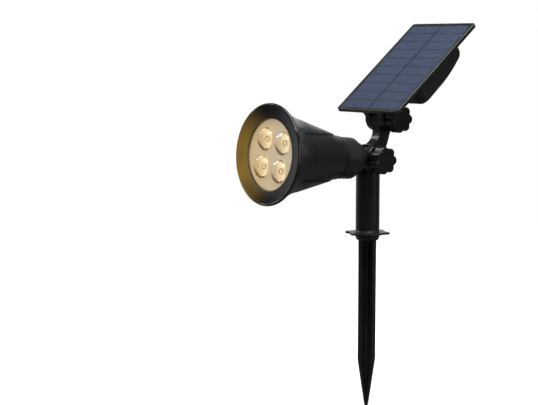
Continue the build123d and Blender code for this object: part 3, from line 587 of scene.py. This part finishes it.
def on_circle(radius, steps):
    """Points (x, y) evenly round a circle."""
    turns = [2 * math.pi * k / steps for k in range(steps)]
    return [(radius * math.cos(turn), radius * math.sin(turn)) for turn in turns]


def revolved(outline, centre, steps):
    """Vertices and faces of a (radius, forward) outline turned about a line along the lamp."""
    verts, faces = [], []
    for radius, forward in outline:
        for x, up in on_circle(radius, steps):
            verts.append(lamp_point(centre[0] + x, centre[1] + up, forward))
    for i in range(len(outline) - 1):
        for k in range(steps):
            a, b = i * steps + k, i * steps + (k + 1) % steps
            faces.append((a, b, b + steps, a + steps))
    return verts, faces


def merged(parts):
    """Joins several (verts, faces) lists into one."""
    verts, faces = [], []
    for some_verts, some_faces in parts:
        base = len(verts)
        verts.extend(some_verts)
        faces.extend(tuple(i + base for i in f) for f in some_faces)
    return verts, faces


# ---------------------------------------------------------------- pieces on the panel
def finger(x0, x1, v):
    """One printed finger: a strip with chamfered flanks, run along X."""
    half, top = FINGER_WIDTH / 2, FINGER_TOP_WIDTH / 2
    section = ((-half, 0.0), (half, 0.0), (top, FINGER_THICK), (-top, FINGER_THICK))
    base = CELL_TOP + FINGER_LIFT
    verts = [panel_point(x, v + dv, base + dn) for x in (x0, x1) for dv, dn in section]
    faces = [(0, 1, 5, 4), (1, 2, 6, 5), (2, 3, 7, 6), (3, 0, 4, 7), (3, 2, 1, 0), (4, 5, 6, 7)]
    return verts, faces


def cell_fingers(finish):
    """Printed silver fingers across every cell."""
    parts = []
    for side in CELL_COLUMN_SIDES:
        inner = side * CELL_GAP / 2
        x0, x1 = sorted((inner, inner + side * CELL_WIDTH))
        for row in range(CELL_ROWS):
            start = CELL_START + row * CELL_PITCH
            for k in range(FINGERS):
                v = start + CELL_LENGTH * (k + 0.5) / FINGERS
                parts.append(finger(x0 + FINGER_INSET, x1 - FINGER_INSET, v))
    made = new_mesh("cell_fingers", *merged(parts), finish)
    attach(made, "panel")


# ---------------------------------------------------------------- pieces in the lamp
def lens_centres():
    """Places of the lenses, across and above the lamp's axis."""
    step = 2 * math.pi / LENS_COUNT
    turns = [LENS_TURN + step * (k + 0.5) for k in range(LENS_COUNT)]
    return [(LENS_PITCH_R * math.cos(turn), LENS_PITCH_R * math.sin(turn)) for turn in turns]


def lens_rings(name, outline, steps, finish):
    """One turned outline set round every lens's axis."""
    outline = [(radius * MM, forward * MM) for radius, forward in outline]
    parts = [revolved(outline, centre, steps) for centre in lens_centres()]
    made = new_mesh(name, *merged(parts), finish, smooth=True)
    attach(made, "lamp")


# ---------------------------------------------------------------- studio
def floor_paper():
    """Pale paper that fades into the white surround and is open from below."""
    s = Shader("floor_paper")
    away = s.vector_math("LENGTH", s.coords)
    seen = s.seen_by_camera()
    tone = s.blend(s.noise(30.0, detail=4.0, rough=0.6), (0.86, 0.86, 0.86), (0.90, 0.90, 0.895))
    tone = s.blend(seen, (0.16, 0.16, 0.16), tone)
    white = s.remap(away, *FLOOR_WHITENS, FLOOR_LIFT, FLOOR_WHITE, smooth=True)
    texture = s.bump(s.noise(900.0, detail=3.0, rough=0.6), 0.1, 0.1 * MM)
    paper = s.principled(
        Base_Color=tone, Roughness=0.8, Normal=texture,
        Emission_Color=(1.0, 1.0, 1.0), Emission_Strength=s.math("MULTIPLY", seen, white),
    )
    below = s.node("ShaderNodeNewGeometry").outputs["Backfacing"]
    hidden = s.math("MAXIMUM", s.remap(away, *FLOOR_FADE, *FULL, smooth=True), below)
    clear = s.node("ShaderNodeBsdfTransparent").outputs[0]
    return s.finish(s.mix_shaders(hidden, paper, clear))


def studio_floor():
    """A round floor just under the stake's tip."""
    verts = [(0.0, 0.0, 0.0)]
    for i in range(1, FLOOR_RINGS + 1):
        radius = FLOOR_REACH * (i / FLOOR_RINGS) ** FLOOR_CROWDING
        verts.extend((x, y, 0.0) for x, y in on_circle(radius, FLOOR_STEPS))
    faces = [(0, 1 + k, 1 + (k + 1) % FLOOR_STEPS) for k in range(FLOOR_STEPS)]
    for i in range(FLOOR_RINGS - 1):
        for k in range(FLOOR_STEPS):
            a = 1 + i * FLOOR_STEPS + k
            b = 1 + i * FLOOR_STEPS + (k + 1) % FLOOR_STEPS
            faces.append((a, a + FLOOR_STEPS, b + FLOOR_STEPS, b))
    floor = new_mesh("studio_floor", verts, faces, floor_paper())
    floor.location = (0.0, 0.0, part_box("ground_stake")[0].z - FLOOR_DROP)


def studio_world():
    """White to the eye; to everything else a dim room with a bright backdrop and a soft ceiling."""
    world = bpy.data.worlds.new("studio")
    bpy.context.scene.world = world
    world.use_nodes = True
    n = Nodes(world.node_tree)
    direction = n.node("ShaderNodeTexCoord").outputs["Generated"]
    height = n.component(direction, "Z")
    ahead = n.vector_math("DOT_PRODUCT", direction, VIEW_AHEAD)
    behind = n.remap(ahead, *BACKDROP_SIDES, 0.0, BACKDROP, smooth=True)
    low = n.remap(height, *BACKDROP_TOP, 1.0, 0.0, smooth=True)
    above_floor = n.remap(height, *BACKDROP_FOOT, *FULL, smooth=True)
    backdrop = n.math("MULTIPLY", n.math("MULTIPLY", behind, low), above_floor)
    ceiling = n.remap(height, *CEILING_RISE, DIM, CEILING, smooth=True)
    room = n.node("ShaderNodeBackground")
    n.put(room.inputs["Strength"], n.math("ADD", backdrop, ceiling))
    room.inputs["Color"].default_value = (0.98, 0.99, 1.0, 1.0)
    white = n.node("ShaderNodeBackground")
    white.inputs["Color"].default_value = (1.0, 1.0, 1.0, 1.0)
    mixed = n.mix_shaders(n.seen_by_camera(), room.outputs[0], white.outputs[0])
    n.put(n.node("ShaderNodeOutputWorld").inputs["Surface"], mixed)


def area_light(name, place, size, power):
    """A softbox at a place, aimed at the object."""
    data = bpy.data.lights.new(name, "AREA")
    data.shape = "RECTANGLE"
    data.size, data.size_y = size
    data.energy = power
    lamp = bpy.data.objects.new(name, data)
    bpy.context.scene.collection.objects.link(lamp)
    lamp.location = place
    aim = Vector(LIGHT_TARGET) - Vector(place)
    lamp.rotation_euler = aim.to_track_quat("-Z", "Y").to_euler()
    lamp.visible_camera = False
    return lamp


def gloss_only(lamp):
    """Keeps a light to reflections, so that it draws a highlight and nothing else."""
    lamp.visible_diffuse = False
    lamp.visible_transmission = False
    return lamp


def studio_lights():
    """The softboxes, then two lights for highlights, the last of them on the rim alone."""
    for box in SOFTBOXES:
        area_light(*box)
    gloss_only(area_light(*FRAME_GLINT))
    rim_strip = gloss_only(area_light(*RIM_STRIP))
    lit = bpy.data.collections.new("rim_strip_subjects")
    lit.objects.link(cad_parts["front_bezel"])
    rim_strip.light_linking.receiver_collection = lit


def studio_camera():
    """The camera at the photo's angle."""
    data = bpy.data.cameras.new("photo_view")
    data.lens = CAMERA_LENS
    data.sensor_width = SENSOR
    data.clip_start = CLIP_START
    data.clip_end = CLIP_END
    camera = bpy.data.objects.new("photo_view", data)
    bpy.context.scene.collection.objects.link(camera)
    camera.location = CAMERA_PLACE
    camera.rotation_euler = CAMERA_TURN
    bpy.context.scene.camera = camera


# ---------------------------------------------------------------- assembly
finishes = make_materials()
for node, key in FINISH.items():
    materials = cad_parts[node].data.materials
    materials.clear()
    materials.append(finishes[key])

cell_fingers(finishes["finger"])
lens_rings("lens_cups", CUP_OUTLINE, CUP_STEPS, finishes["cup"])
lens_rings("cavity_rims", CAVITY_OUTLINE, CAVITY_STEPS, finishes["frost_and_painted_glow"])
studio_floor()
studio_world()
studio_lights()
studio_camera()
bpy.context.scene.view_settings.view_transform = "Standard"
